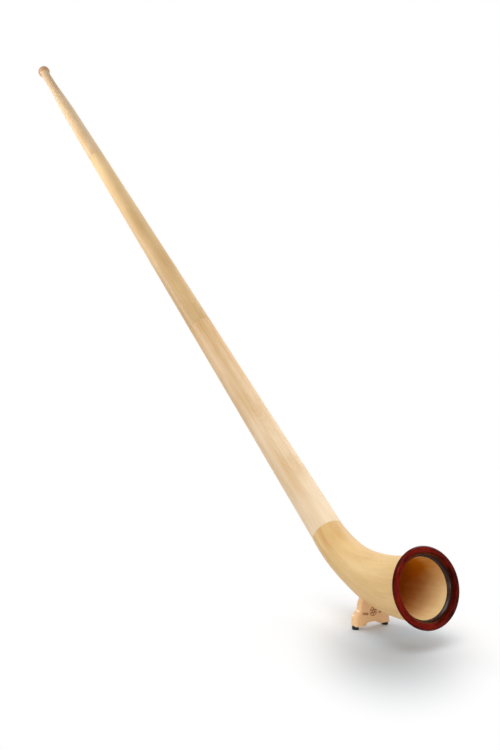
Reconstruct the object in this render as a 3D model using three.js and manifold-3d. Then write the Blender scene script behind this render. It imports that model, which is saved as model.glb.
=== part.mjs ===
// Alphorn in its playing pose: a long jointed wooden horn that rests on a small foot under its bell.
// Millimetres, +Z up, +X the way the bell points. The origin lies on the floor midway between the two foot pads.
import * as THREE from 'three';
import * as BufferGeometryUtils from 'three/addons/utils/BufferGeometryUtils.js';
import Module from 'manifold-3d';

const wasm = await Module();
wasm.setup();

// Pose of the two straight axes, which meet at the corner of the bend
const bellTilt = THREE.MathUtils.degToRad(14.3);
const tubeSlope = THREE.MathUtils.degToRad(36.7);
const mouthForward = 201;
const mouthHeight = 140.6;
const mouthToCorner = 234;
const cornerToJoint = 199;
const bendHandleShare = 0.63;

// Bell section
const bellMouthRadius = 79.3;
const bellFlareRadius = 70.6;
const bellBodyRadius = 62.6;
const bellThroatRadius = 51.6;
const bellFlareShare = 0.25;
const bellBodyShare = 0.44;
const bellThroatShare = 0.67;
const bellMouthWall = 7.7;
const bellBoreRadius = 34;
const bellStations = 14;

// Straight sections, lengths along the tube from the bell joint to the receiver knob
const lowerMiddleLength = 920;
const upperMiddleLength = 1176;
const handLength = 850;
const bellJointRadius = 43.8;
const lowerWaistRadius = 40.3;
const lowerWaistShare = 0.45;
const middleJointRadius = 37.4;
const handJointRadius = 29.7;
const shoulderRadius = 26.3;
const neckRadius = 18.3;
const neckLength = 100;
const shoulderLength = 340;
const shoulderSteps = 6;
const middleBoreRadius = 26.5;
const handBoreRadius = 15.5;
const topBoreRadius = 7.5;

// Joint hardware: a sleeve glued in the lower section slides into a lined socket in the upper one
const glueGap = 0.3;
const faceGap = 0.3;
const runningGap = 0.4;
const sleeveWall = 3.5;
const sleeveGlueDepth = 26;
const tenonLength = 60;
const socketBottomGap = 2;
const linerWall = 1.1;
const grooveDepth = 2;
const grooveWidth = 2.8;
const sealRadius = 1;
const sealSeatGap = 0.2;
const lowerSealShare = 0.3;
const upperSealShare = 0.7;
const leadChamfer = 1;

// Receiver knob and mouthpiece
const knobRadius = 26.5;
const knobTopRadius = 18.5;
const knobSpigotRadius = 12.5;
const knobSpigotLength = 28;
const receiverLength = 45;
const recessDepth = 17.5;
const recessGap = 0.6;
const receiverWall = 1.2;
const shankTopRadius = 6.8;
const shankEndRadius = 5.6;
const shankLength = 44;
const cupLength = 29;
const cupRimRadius = 14.5;
const cupWaistRadius = 8.2;
const rimBoreRadius = 9.2;
const rimEdge = 1.6;
const cupDepth = 16;
const throatRadius = 2.6;
const shankBoreRadius = 3.9;
const cupStandOff = 1.5;
const cupOutsideShares = [[0, 0.2], [0.5, 0.45], [0.75, 0.75], [1, 0.9]];
const cupBowlShares = [[0.21, 0.4], [0.7, 0.78]];

// Bell ring
const ringRadius = 95;
const ringFront = 18.5;
const ringWidestAt = 10;
const ringSkirtLength = 5;
const ringSkirtRadius = 85;
const ringFaceRadius = 86.5;
const ringFlatWidth = 3;
const ringLipRadius = 79.4;
const ringLipAt = 15.5;
const ringRollShares = [[0.75, 0.7]];
const ringBrowShares = [[0.18, 0.52], [0.52, 0.86]];
const ringLipShares = [[0.75, 0.3]];
const ringCoveShares = [[0.3, 0.55], [0.65, 0.85]];

// Foot
const footThickness = 21;
const footAhead = 2.5;
const footArchHeight = 15.5;
const footArchHalfWidth = 9;
const legInner = 22;
const legOuter = 53;
const legRounding = 5;
const toeHeight = 28;
const ankleWidth = 43.5;
const ankleHeight = 41;
const waistHalfWidth = 37;
const waistHeight = 52;
const shoulderHalfWidth = 32.5;
const footShoulderHeight = 70;
const saddleHalfWidth = 21.5;
const saddleTop = 92;
const footEdge = 3;
const toeEdge = 8;
const underEdge = 1.2;
const edgeRise = 6;

// Pads and their screws
const padSpacing = 90;
const padHeight = 8;
const padTopRadius = 8;
const padFootRadius = 8.5;
const padEdge = 1;
const padHoleRadius = 2.4;
const padSinkRadius = 4;
const padSinkDepth = 4;
const screwHeadRadius = 3.6;
const screwHeadHeight = 2.2;
const screwShankRadius = 2;
const screwLength = 18;
const screwTipLength = 3;
const screwSlotRadius = 0.8;

// Facets
const turns = 24;
const ringTurns = 48;
const smallTurns = 16;
const sealSides = 6;
const knobSteps = 8;
const footCurveSteps = 4;
const footEdgeSteps = 3;

const woods = {
  spruce: new THREE.MeshStandardMaterial({ color: 0xdfc088, roughness: 0.4, metalness: 0 }),
  bellWood: new THREE.MeshStandardMaterial({ color: 0xdcb478, roughness: 0.4, metalness: 0 }),
  knobWood: new THREE.MeshStandardMaterial({ color: 0xd9ae80, roughness: 0.4, metalness: 0 }),
  darkWood: new THREE.MeshStandardMaterial({ color: 0x701812, roughness: 0.2, metalness: 0 }),
  footWood: new THREE.MeshStandardMaterial({ color: 0xdcaa80, roughness: 0.5, metalness: 0 }),
  mouthWood: new THREE.MeshStandardMaterial({ color: 0x5a3a26, roughness: 0.3, metalness: 0 }),
};
const brass = new THREE.MeshStandardMaterial({ color: 0xc8a050, roughness: 0.3, metalness: 1 });
const steel = new THREE.MeshStandardMaterial({ color: 0xb8b8ba, roughness: 0.35, metalness: 1 });
const rubber = new THREE.MeshStandardMaterial({ color: 0x161616, roughness: 0.8, metalness: 0 });

// Axes: forward along the bell, and up the straight tube away from the bell
const forward = new THREE.Vector3(Math.cos(bellTilt), 0, Math.sin(bellTilt));
const uphill = new THREE.Vector3(-Math.cos(tubeSlope), 0, Math.sin(tubeSlope));
const mouth = new THREE.Vector3(mouthForward, 0, mouthHeight);
const corner = mouth.clone().addScaledVector(forward, -mouthToCorner);
const bellJoint = corner.clone().addScaledVector(uphill, cornerToJoint);
const bend = new THREE.CubicBezierCurve3(
  mouth,
  mouth.clone().addScaledVector(forward, -mouthToCorner * bendHandleShare),
  bellJoint.clone().addScaledVector(uphill, -cornerToJoint * bendHandleShare),
  bellJoint,
);

function mesh(name, geometry, material) {
  const piece = new THREE.Mesh(geometry, material.clone());
  piece.name = name;
  return piece;
}

function solid(geometry) {
  const bare = geometry.clone();
  bare.deleteAttribute('normal');
  bare.deleteAttribute('uv');
  const merged = BufferGeometryUtils.mergeVertices(bare);
  return new wasm.Manifold(new wasm.Mesh({
    numProp: 3,
    vertProperties: merged.attributes.position.array,
    triVerts: new Uint32Array(merged.index.array),
  }));
}

function fromSolid(body) {
  const result = body.getMesh();
  const geometry = new THREE.BufferGeometry();
  geometry.setAttribute('position', new THREE.Float32BufferAttribute(result.vertProperties, 3));
  geometry.setIndex(Array.from(result.triVerts));
  return geometry;
}

// A turned piece about the local Z axis, from a closed profile of [radius, height]
function turned(profile, sides = turns) {
  const points = profile.map(([radius, height]) => new THREE.Vector2(radius, height));
  return new THREE.LatheGeometry(points, sides).rotateX(Math.PI / 2);
}

// Points between two corners of a profile, each by [share of the radius, share of the height]
function between([radiusA, heightA], [radiusB, heightB], shares) {
  return shares.map(([radiusShare, heightShare]) => [
    THREE.MathUtils.lerp(radiusA, radiusB, radiusShare),
    THREE.MathUtils.lerp(heightA, heightB, heightShare),
  ]);
}

const straightFrame = (height) => ({
  centre: new THREE.Vector3(0, 0, height),
  up: new THREE.Vector3(1, 0, 0),
});

function bendFrame(share) {
  const ends = { 0: forward.clone().negate(), 1: uphill };
  const ahead = ends[share] ?? bend.getTangentAt(share);
  return {
    centre: bend.getPointAt(share),
    up: new THREE.Vector3(ahead.z, 0, -ahead.x),
  };
}

// Half of a hollow shell, split at the plane Y = 0. The loop of [place, radius] runs up the
// outside and back down the bore, and side is 1 for the left half and -1 for the right half.
function halfShell(loop, frameAt, side) {
  const steps = turns / 2;
  const start = side > 0 ? 0 : Math.PI;
  const positions = [];
  const indices = [];
  const count = loop.length;
  const across = new THREE.Vector3(0, 1, 0);
  for (let step = 0; step <= steps; step += 1) {
    const angle = start + (Math.PI * step) / steps;
    const flat = step === 0 || step === steps;
    for (const [place, radius] of loop) {
      const { centre, up } = frameAt(place);
      const point = centre.clone().addScaledVector(up, radius * Math.cos(angle));
      point.addScaledVector(across, flat ? 0 : radius * Math.sin(angle));
      positions.push(point.x, point.y, point.z);
    }
  }
  for (let step = 0; step < steps; step += 1) {
    for (let edge = 0; edge < count; edge += 1) {
      const next = (edge + 1) % count;
      const a = step * count + edge;
      const b = step * count + next;
      indices.push(a, a + count, b, b, a + count, b + count);
    }
  }
  for (const step of [0, steps]) {
    const first = step * count;
    const contour = loop.map((_, edge) => new THREE.Vector2(
      positions[3 * (first + edge)],
      positions[3 * (first + edge) + 2],
    ));
    for (const triple of THREE.ShapeUtils.triangulateShape(contour, [])) {
      const [a, b, c] = triple.map((vertex) => contour[vertex]);
      const turn = (b.x - a.x) * (c.y - a.y) - (b.y - a.y) * (c.x - a.x);
      const [i, j, k] = triple.map((vertex) => vertex + first);
      // The cut face looks towards -Y on the left half, where a turn in X and Z is positive
      if (turn * side > 0) {
        indices.push(i, j, k);
      } else {
        indices.push(i, k, j);
      }
    }
  }
  const geometry = new THREE.BufferGeometry();
  geometry.setAttribute('position', new THREE.Float32BufferAttribute(positions, 3));
  geometry.setIndex(indices);
  return geometry;
}

function bothHalves(name, loop, frameAt, material, finish = (geometry) => geometry) {
  return [['left', 1], ['right', -1]].map(([word, side]) => (
    mesh(`${name}_${word}`, finish(halfShell(loop, frameAt, side)), material)
  ));
}

// A joint is named by its bore radius: the sleeve and socket sizes follow from it
function jointSizes(bore) {
  const sleeveOuter = bore + sleeveWall;
  const linerInner = sleeveOuter + runningGap;
  return {
    bore,
    sleeveOuter,
    linerInner,
    linerOuter: linerInner + linerWall,
    glueRadius: sleeveOuter + glueGap,
    socketRadius: linerInner + linerWall + glueGap,
    sealCentre: sleeveOuter - grooveDepth + sealSeatGap + sealRadius,
  };
}

function sleeveProfile(sizes) {
  const { bore, sleeveOuter } = sizes;
  const grooveRadius = sleeveOuter - grooveDepth;
  const groove = (share) => {
    const middle = tenonLength * share;
    return [
      [sleeveOuter, middle - grooveWidth / 2],
      [grooveRadius, middle - grooveWidth / 2],
      [grooveRadius, middle + grooveWidth / 2],
      [sleeveOuter, middle + grooveWidth / 2],
    ];
  };
  const foot = faceGap - sleeveGlueDepth;
  return [
    [bore, foot],
    [sleeveOuter, foot],
    ...groove(lowerSealShare),
    ...groove(upperSealShare),
    [sleeveOuter, tenonLength - leadChamfer],
    [sleeveOuter - leadChamfer, tenonLength],
    [bore, tenonLength],
    [bore, foot],
  ];
}

function sealProfile(sizes, share) {
  const points = [];
  for (let side = 0; side <= sealSides; side += 1) {
    const angle = (2 * Math.PI * (side % sealSides)) / sealSides;
    points.push([
      sizes.sealCentre + sealRadius * Math.cos(angle),
      tenonLength * share + sealRadius * Math.sin(angle),
    ]);
  }
  return points;
}

function linerProfile(sizes) {
  const top = tenonLength + socketBottomGap - faceGap;
  return [
    [sizes.linerInner, faceGap],
    [sizes.linerOuter, faceGap],
    [sizes.linerOuter, top],
    [sizes.linerInner, top],
    [sizes.linerInner, faceGap],
  ];
}

function jointHardware(name, sizes) {
  const group = new THREE.Group();
  group.add(
    mesh(`${name}_tenon_sleeve`, turned(sleeveProfile(sizes)), brass),
    mesh(`${name}_socket_liner`, turned(linerProfile(sizes)), brass),
    mesh(`${name}_seal_lower`, turned(sealProfile(sizes, lowerSealShare)), rubber),
    mesh(`${name}_seal_upper`, turned(sealProfile(sizes, upperSealShare)), rubber),
  );
  return group;
}

// A straight section's loop from its socket end (0) to its upper end, which holds the next sleeve
function sectionLoop(length, outside, socket, next) {
  const socketDepth = tenonLength + socketBottomGap;
  return [
    ...outside,
    [length, next.glueRadius],
    [length - sleeveGlueDepth, next.glueRadius],
    [length - sleeveGlueDepth, next.bore],
    [socketDepth, socket.bore],
    [socketDepth, socket.socketRadius],
    [faceGap, socket.socketRadius],
  ];
}

// Outside of the bell, as [share of the bend from the mouth, radius]
function bellOutside() {
  const flare = new THREE.SplineCurve([
    new THREE.Vector2(0, bellMouthRadius),
    new THREE.Vector2(bellFlareShare, bellFlareRadius),
    new THREE.Vector2(bellBodyShare, bellBodyRadius),
    new THREE.Vector2(bellThroatShare, bellThroatRadius),
    new THREE.Vector2(1, bellJointRadius),
  ]);
  return flare.getPoints(bellStations).map((point) => [point.x, point.y]);
}

// The wall thickens evenly from the mouth to the joint
function bellLoop() {
  const jointWall = bellJointRadius - bellBoreRadius;
  const outside = bellOutside();
  const inside = outside.map(([share, radius]) => (
    [share, radius - bellMouthWall - (jointWall - bellMouthWall) * share]
  ));
  return [...outside, ...inside.reverse()];
}

const bellSizes = jointSizes(bellBoreRadius);
const middleSizes = jointSizes(middleBoreRadius);
const handSizes = jointSizes(handBoreRadius);

function bellShells() {
  const glueHole = new THREE.CylinderGeometry(
    bellSizes.glueRadius,
    bellSizes.glueRadius,
    sleeveGlueDepth * 2,
    turns,
  );
  glueHole.rotateX(Math.PI / 2).rotateY(tubeSlope - Math.PI / 2);
  glueHole.translate(bellJoint.x, bellJoint.y, bellJoint.z);
  const bore = solid(glueHole);
  const cutGlueHole = (geometry) => fromSolid(solid(geometry).subtract(bore));
  return bothHalves('bell_shell', bellLoop(), bendFrame, woods.bellWood, cutGlueHole);
}

function lowerMiddle() {
  const outside = [
    [faceGap, bellJointRadius],
    [lowerMiddleLength * lowerWaistShare, lowerWaistRadius],
    [lowerMiddleLength, middleJointRadius],
  ];
  const loop = sectionLoop(lowerMiddleLength, outside, bellSizes, middleSizes);
  return bothHalves('lower_middle_shell', loop, straightFrame, woods.spruce);
}

function upperMiddle() {
  const outside = [[faceGap, middleJointRadius], [upperMiddleLength, handJointRadius]];
  const loop = sectionLoop(upperMiddleLength, outside, middleSizes, handSizes);
  return bothHalves('upper_middle_shell', loop, straightFrame, woods.spruce);
}

// The hand tube keeps a steady taper, then slims in an S curve to the neck under the knob
function handTube() {
  const neckStart = handLength - neckLength;
  const shoulderStart = neckStart - shoulderLength;
  const outside = [[faceGap, handJointRadius]];
  for (let step = 0; step <= shoulderSteps; step += 1) {
    const share = step / shoulderSteps;
    const ease = THREE.MathUtils.smoothstep(share, 0, 1);
    outside.push([
      shoulderStart + shoulderLength * share,
      shoulderRadius + (neckRadius - shoulderRadius) * ease,
    ]);
  }
  outside.push([handLength, neckRadius]);
  const socketDepth = tenonLength + socketBottomGap;
  const spigotRoom = knobSpigotRadius + glueGap;
  const loop = [
    ...outside,
    [handLength, spigotRoom],
    [handLength - knobSpigotLength, spigotRoom],
    [handLength - knobSpigotLength, topBoreRadius],
    [socketDepth, handSizes.bore],
    [socketDepth, handSizes.socketRadius],
    [faceGap, handSizes.socketRadius],
  ];
  return bothHalves('hand_tube_shell', loop, straightFrame, woods.spruce);
}

// Heights above the hand tube's end face
const knobCentre = faceGap + Math.sqrt(knobRadius ** 2 - neckRadius ** 2);
const knobTop = knobCentre + Math.sqrt(knobRadius ** 2 - knobTopRadius ** 2);
const recessFloor = knobTop - recessDepth;
const receiverRadius = shankTopRadius + glueGap + receiverWall;

function receiverKnob() {
  const low = Math.atan2(faceGap - knobCentre, neckRadius);
  const high = Math.atan2(knobTop - knobCentre, knobTopRadius);
  const ball = [];
  for (let step = 0; step <= knobSteps; step += 1) {
    const angle = low + ((high - low) * step) / knobSteps;
    ball.push([knobRadius * Math.cos(angle), knobCentre + knobRadius * Math.sin(angle)]);
  }
  const room = receiverRadius + glueGap;
  const roomEnd = recessFloor - receiverLength - faceGap;
  const recessRadius = cupRimRadius + recessGap;
  const spigotEnd = faceGap - knobSpigotLength;
  const profile = [
    [topBoreRadius, spigotEnd],
    [knobSpigotRadius, spigotEnd],
    [knobSpigotRadius, faceGap],
    ...ball,
    [recessRadius, knobTop],
    [recessRadius, recessFloor],
    [room, recessFloor],
    [room, roomEnd],
    [topBoreRadius, roomEnd],
    [topBoreRadius, spigotEnd],
  ];
  return mesh('receiver_knob', turned(profile), woods.knobWood);
}

function receiverSleeve() {
  const taper = (shankTopRadius - shankEndRadius) * (receiverLength / shankLength);
  const profile = [
    [shankTopRadius + glueGap - taper, recessFloor - receiverLength],
    [receiverRadius, recessFloor - receiverLength],
    [receiverRadius, recessFloor],
    [shankTopRadius + glueGap, recessFloor],
    [shankTopRadius + glueGap - taper, recessFloor - receiverLength],
  ];
  return mesh('receiver_sleeve', turned(profile), brass);
}

// The mouthpiece sits in the knob's recess with its rim standing proud of it
function mouthpiece() {
  const waist = recessFloor + cupStandOff;
  const rim = waist + cupLength;
  const shankEnd = waist - shankLength;
  const bowlTop = [rimBoreRadius, rim - rimEdge];
  const bowlFloor = [throatRadius, rim - rimEdge - cupDepth];
  const profile = [
    [shankBoreRadius, shankEnd],
    [shankEndRadius, shankEnd],
    [shankTopRadius, recessFloor],
    [cupWaistRadius, waist],
    ...between([cupWaistRadius, waist], [cupRimRadius, rim], cupOutsideShares),
    [cupRimRadius - rimEdge / 2, rim - rimEdge / 2],
    [cupRimRadius - rimEdge, rim],
    [rimBoreRadius + rimEdge, rim],
    bowlTop,
    ...between(bowlTop, bowlFloor, cupBowlShares),
    bowlFloor,
    [throatRadius, waist],
    [shankBoreRadius, shankEnd],
  ];
  return mesh('mouthpiece', turned(profile), woods.mouthWood);
}

// Turned ring over the bell's end, in the mouth's frame with local Z forward
function bellRing() {
  const seat = bellMouthRadius + glueGap;
  const bore = [bellMouthRadius - bellMouthWall, faceGap];
  const back = [ringSkirtRadius, -ringSkirtLength];
  const widest = [ringRadius, ringWidestAt];
  const face = [ringFaceRadius, ringFront];
  const faceInner = [ringFaceRadius - ringFlatWidth, ringFront];
  const lip = [ringLipRadius, ringLipAt];
  const profile = [
    bore,
    [seat, faceGap],
    [seat, -ringSkirtLength],
    back,
    ...between(back, widest, ringRollShares),
    widest,
    ...between(widest, face, ringBrowShares),
    face,
    faceInner,
    ...between(faceInner, lip, ringLipShares),
    lip,
    ...between(lip, bore, ringCoveShares),
    bore,
  ];
  return mesh('bell_ring', turned(profile, ringTurns), woods.darkWood);
}

// Foot outline as points of (Y, Z), mirrored about Y = 0 and anticlockwise seen from the front
function footOutline() {
  const waist = new THREE.Vector2(waistHalfWidth, waistHeight);
  const half = new THREE.Path();
  half.moveTo(0, footArchHeight);
  half.lineTo(footArchHalfWidth, footArchHeight);
  half.quadraticCurveTo(legInner - legRounding / 2, footArchHeight - 1, legInner, padHeight);
  half.lineTo(legOuter - legRounding, padHeight);
  half.quadraticCurveTo(legOuter, padHeight, legOuter, padHeight + legRounding);
  half.lineTo(legOuter, toeHeight);
  half.quadraticCurveTo(legOuter, (toeHeight + ankleHeight) / 2, ankleWidth, ankleHeight);
  half.quadraticCurveTo(waist.x, (ankleHeight + waist.y) / 2, waist.x, waist.y);
  half.quadraticCurveTo(waist.x, (waist.y + footShoulderHeight) / 2, shoulderHalfWidth, footShoulderHeight);
  half.lineTo(saddleHalfWidth, saddleTop);
  const points = half.getPoints(footCurveSteps);
  const mirrored = points.slice(1).map((point) => new THREE.Vector2(-point.x, point.y));
  return [...points, ...mirrored.reverse()];
}

// Radius of the front or back edge at a point of the outline, which is largest on the toes' fronts
function footRounding(point, side) {
  const out = THREE.MathUtils.smoothstep(Math.abs(point.x), waistHalfWidth, legOuter);
  const up = THREE.MathUtils.smoothstep(point.y, padHeight, padHeight + edgeRise);
  const upper = side > 0 ? THREE.MathUtils.lerp(footEdge, toeEdge, out) : footEdge;
  return THREE.MathUtils.lerp(underEdge, upper, up);
}

// The outline as a thick block whose front and back edges are rounded
function footShell() {
  const outline = footOutline();
  const count = outline.length;
  const positions = [];
  const indices = [];
  const addRing = (side, turn) => {
    outline.forEach((point, index) => {
      const next = outline[(index + 1) % count];
      const last = outline[(index + count - 1) % count];
      const along = next.clone().sub(last).normalize();
      const rounding = footRounding(point, side);
      const inset = rounding * (1 - Math.cos(turn));
      positions.push(
        footAhead + side * (footThickness / 2 - rounding * (1 - Math.sin(turn))),
        point.x - along.y * inset,
        point.y + along.x * inset,
      );
    });
  };
  for (let step = footEdgeSteps; step >= 0; step -= 1) {
    addRing(1, (Math.PI / 2) * (step / footEdgeSteps));
  }
  for (let step = 0; step <= footEdgeSteps; step += 1) {
    addRing(-1, (Math.PI / 2) * (step / footEdgeSteps));
  }
  const rings = 2 * (footEdgeSteps + 1);
  for (let ring = 0; ring + 1 < rings; ring += 1) {
    for (let edge = 0; edge < count; edge += 1) {
      const a = ring * count + edge;
      const b = ring * count + ((edge + 1) % count);
      indices.push(a, a + count, b, b, a + count, b + count);
    }
  }
  for (const [first, side] of [[0, 1], [(rings - 1) * count, -1]]) {
    const contour = outline.map((_, index) => new THREE.Vector2(
      positions[3 * (first + index) + 1],
      positions[3 * (first + index) + 2],
    ));
    for (const triple of THREE.ShapeUtils.triangulateShape(contour, [])) {
      const [a, b, c] = triple.map((vertex) => contour[vertex]);
      const turn = (b.x - a.x) * (c.y - a.y) - (b.y - a.y) * (c.x - a.x);
      const [i, j, k] = triple.map((vertex) => vertex + first);
      indices.push(...(turn * side > 0 ? [i, j, k] : [i, k, j]));
    }
  }
  const geometry = new THREE.BufferGeometry();
  geometry.setAttribute('position', new THREE.Float32BufferAttribute(positions, 3));
  geometry.setIndex(indices);
  return geometry;
}

function footBlock() {
  let body = solid(footShell());
  // The saddle follows the bell's underside with a glue line between them
  const saddle = bellOutside().map(([share, radius]) => [share, radius + glueGap]);
  const loop = [...saddle, [1, 0], [0, 0]];
  for (const side of [1, -1]) {
    body = body.subtract(solid(halfShell(loop, bendFrame, side)));
  }
  const hole = new THREE.CylinderGeometry(
    screwShankRadius + glueGap,
    screwShankRadius + glueGap,
    2 * (screwLength + glueGap),
    smallTurns,
  );
  hole.rotateX(Math.PI / 2);
  for (const side of [1, -1]) {
    const placed = hole.clone().translate(0, (side * padSpacing) / 2, padSinkDepth);
    body = body.subtract(solid(placed));
  }
  return mesh('foot_block', fromSolid(body), woods.footWood);
}

function padProfile() {
  return [
    [padHoleRadius, padSinkDepth],
    [padSinkRadius, padSinkDepth],
    [padSinkRadius, 0],
    [padFootRadius - padEdge, 0],
    [padFootRadius, padEdge],
    [padTopRadius, padHeight],
    [padHoleRadius, padHeight],
    [padHoleRadius, padSinkDepth],
  ];
}

// Pan-head screw with its head down in the pad and its tip up in the leg
function screwProfile() {
  const headTop = padSinkDepth - glueGap;
  const headBottom = headTop - screwHeadHeight;
  const tip = headTop + screwLength;
  return [
    [0, tip],
    [screwShankRadius, tip - screwTipLength],
    [screwShankRadius, headTop],
    [screwHeadRadius, headTop],
    [screwHeadRadius, headBottom + screwHeadHeight / 2],
    [screwHeadRadius - screwSlotRadius, headBottom],
    [screwSlotRadius, headBottom],
    [0, headBottom + screwSlotRadius],
  ].reverse();
}

function footPads() {
  return [['left', 1], ['right', -1]].flatMap(([word, side]) => {
    const pad = mesh(`foot_pad_${word}`, turned(padProfile(), smallTurns), rubber);
    const screw = mesh(`pad_screw_${word}`, turned(screwProfile(), smallTurns), steel);
    for (const piece of [pad, screw]) {
      piece.position.y = (side * padSpacing) / 2;
    }
    return [pad, screw];
  });
}

// The straight tube's group has local Z up the tube and local X on its upper side
const tube = new THREE.Group();
tube.position.copy(bellJoint);
tube.rotation.y = tubeSlope - Math.PI / 2;
const bellHardware = jointHardware('bell_joint', bellSizes);
const lowerGroup = new THREE.Group();
lowerGroup.add(...lowerMiddle());
const upperGroup = new THREE.Group();
upperGroup.position.z = lowerMiddleLength;
upperGroup.add(jointHardware('middle_joint', middleSizes), ...upperMiddle());
const handGroup = new THREE.Group();
handGroup.position.z = lowerMiddleLength + upperMiddleLength;
handGroup.add(jointHardware('hand_joint', handSizes), ...handTube());
const topGroup = new THREE.Group();
topGroup.position.z = handLength;
topGroup.add(receiverKnob(), receiverSleeve(), mouthpiece());
handGroup.add(topGroup);
tube.add(bellHardware, lowerGroup, upperGroup, handGroup);

const mouthGroup = new THREE.Group();
mouthGroup.position.copy(mouth);
mouthGroup.rotation.y = Math.PI / 2 - bellTilt;
mouthGroup.add(bellRing());

const alphorn = new THREE.Group();
alphorn.add(...bellShells(), mouthGroup, footBlock(), ...footPads(), tube);

export default alphorn;
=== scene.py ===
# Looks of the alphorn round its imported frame. Metres, in the frame's axes: +Z up, +X the way the bell points.
import math

import bmesh
import bpy
from mathutils import Matrix, Vector
from mathutils.geometry import tessellate_polygon


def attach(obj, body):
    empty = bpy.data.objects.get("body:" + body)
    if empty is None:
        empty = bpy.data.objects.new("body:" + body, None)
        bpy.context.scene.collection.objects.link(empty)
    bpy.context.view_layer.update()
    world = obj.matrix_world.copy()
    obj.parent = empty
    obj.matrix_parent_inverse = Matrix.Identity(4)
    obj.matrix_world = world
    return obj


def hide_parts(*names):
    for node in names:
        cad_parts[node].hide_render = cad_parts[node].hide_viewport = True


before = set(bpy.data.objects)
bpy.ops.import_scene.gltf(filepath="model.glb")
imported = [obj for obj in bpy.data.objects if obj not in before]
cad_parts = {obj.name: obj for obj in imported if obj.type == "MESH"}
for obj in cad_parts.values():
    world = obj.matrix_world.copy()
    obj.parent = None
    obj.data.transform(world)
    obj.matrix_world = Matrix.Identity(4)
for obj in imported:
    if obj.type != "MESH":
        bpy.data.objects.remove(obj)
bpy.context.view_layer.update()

SIDES = (("left", 1), ("right", -1))

# Pose of the two straight axes and the bend between them
BELL_TILT = math.radians(14.3)
TUBE_SLOPE = math.radians(36.7)
MOUTH = Vector((0.201, 0, 0.1406))
MOUTH_TO_CORNER = 0.234
CORNER_TO_JOINT = 0.199
BEND_HANDLE_SHARE = 0.63
BEND_SAMPLES = 2000

# Bell, with its outside as (share of the bend's length, radius)
BELL_MOUTH_RADIUS = 0.0793
BELL_JOINT_RADIUS = 0.0438
BELL_OUTSIDE = (
    (0, BELL_MOUTH_RADIUS), (0.25, 0.0706), (0.44, 0.0626), (0.67, 0.0516), (1, BELL_JOINT_RADIUS),
)
BELL_MOUTH_WALL = 0.0077
BELL_BORE = 0.034
BELL_STATIONS = 96

# Straight sections
LOWER_LENGTH = 0.920
UPPER_LENGTH = 1.176
HAND_LENGTH = 0.850
LOWER_WAIST_RADIUS = 0.0403
LOWER_WAIST_SHARE = 0.45
MIDDLE_JOINT_RADIUS = 0.0374
HAND_JOINT_RADIUS = 0.0297
SHOULDER_RADIUS = 0.0263
SHOULDER_LENGTH = 0.340
SHOULDER_STEPS = 24
NECK_RADIUS = 0.0183
NECK_LENGTH = 0.100
MIDDLE_BORE = 0.0265
HAND_BORE = 0.0155
TOP_BORE = 0.0075
LONGEST_RUN = 0.05

# Joint hardware
GAP = 0.0003
RUNNING_GAP = 0.0004
SLEEVE_WALL = 0.0035
SLEEVE_GLUE_DEPTH = 0.026
SLEEVE_LEAD = 0.001
TENON_LENGTH = 0.060
SOCKET_BOTTOM_GAP = 0.002
SOCKET_DEPTH = TENON_LENGTH + SOCKET_BOTTOM_GAP
LINER_WALL = 0.0011
GROOVE_DEPTH = 0.002
GROOVE_WIDTH = 0.0028
SEAL_RADIUS = 0.001
SEAL_SEAT_GAP = 0.0002
SEAL_SIDES = 16
SEAL_SHARES = {"lower": 0.3, "upper": 0.7}

# Receiver knob and mouthpiece. Curves are shares of the way between two points, in radius and height
KNOB_RADIUS = 0.0265
KNOB_TOP_RADIUS = 0.0185
KNOB_SPIGOT_RADIUS = 0.0125
KNOB_SPIGOT_LENGTH = 0.028
KNOB_STEPS = 40
RECEIVER_LENGTH = 0.045
RECEIVER_WALL = 0.0012
RECESS_DEPTH = 0.0175
RECESS_GAP = 0.0006
SHANK_TOP_RADIUS = 0.0068
SHANK_END_RADIUS = 0.0056
SHANK_LENGTH = 0.044
CUP_LENGTH = 0.029
CUP_RIM_RADIUS = 0.0145
CUP_WAIST_RADIUS = 0.0082
CUP_CURVE = ((0, 0), (0, 0.2), (0.5, 0.45), (0.75, 0.75), (1, 0.9))
CUP_STEPS = 32
RIM_BORE_RADIUS = 0.0092
RIM_EDGE = 0.0016
RIM_STEPS = 16
CUP_DEPTH = 0.016
BOWL_CURVE = ((0, 0), (0.21, 0.4), (0.7, 0.78), (1, 1))
BOWL_STEPS = 20
THROAT_RADIUS = 0.0026
SHANK_BORE_RADIUS = 0.0039
CUP_STAND_OFF = 0.0015

# Bell ring
RING_RADIUS = 0.095
RING_FRONT = 0.0185
RING_WIDEST_AT = 0.010
RING_SKIRT_LENGTH = 0.005
RING_SKIRT_RADIUS = 0.085
RING_FACE_RADIUS = 0.0865
RING_FLAT_WIDTH = 0.003
RING_LIP_RADIUS = 0.0794
RING_LIP_AT = 0.0155
RING_BACK_CURVE = ((0, 0), (0.75, 0.7))
RING_FRONT_CURVE = ((0, 0), (0.18, 0.52), (0.52, 0.86), (1, 1))
RING_OUTER_STEPS = 60
RING_LIP_CURVE = ((0, 0), (0.75, 0.3), (1, 1))
RING_LIP_STEPS = 12
RING_COVE_CURVE = ((0, 0), (0.3, 0.55), (0.65, 0.85), (1, 1))
RING_COVE_STEPS = 24

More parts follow.
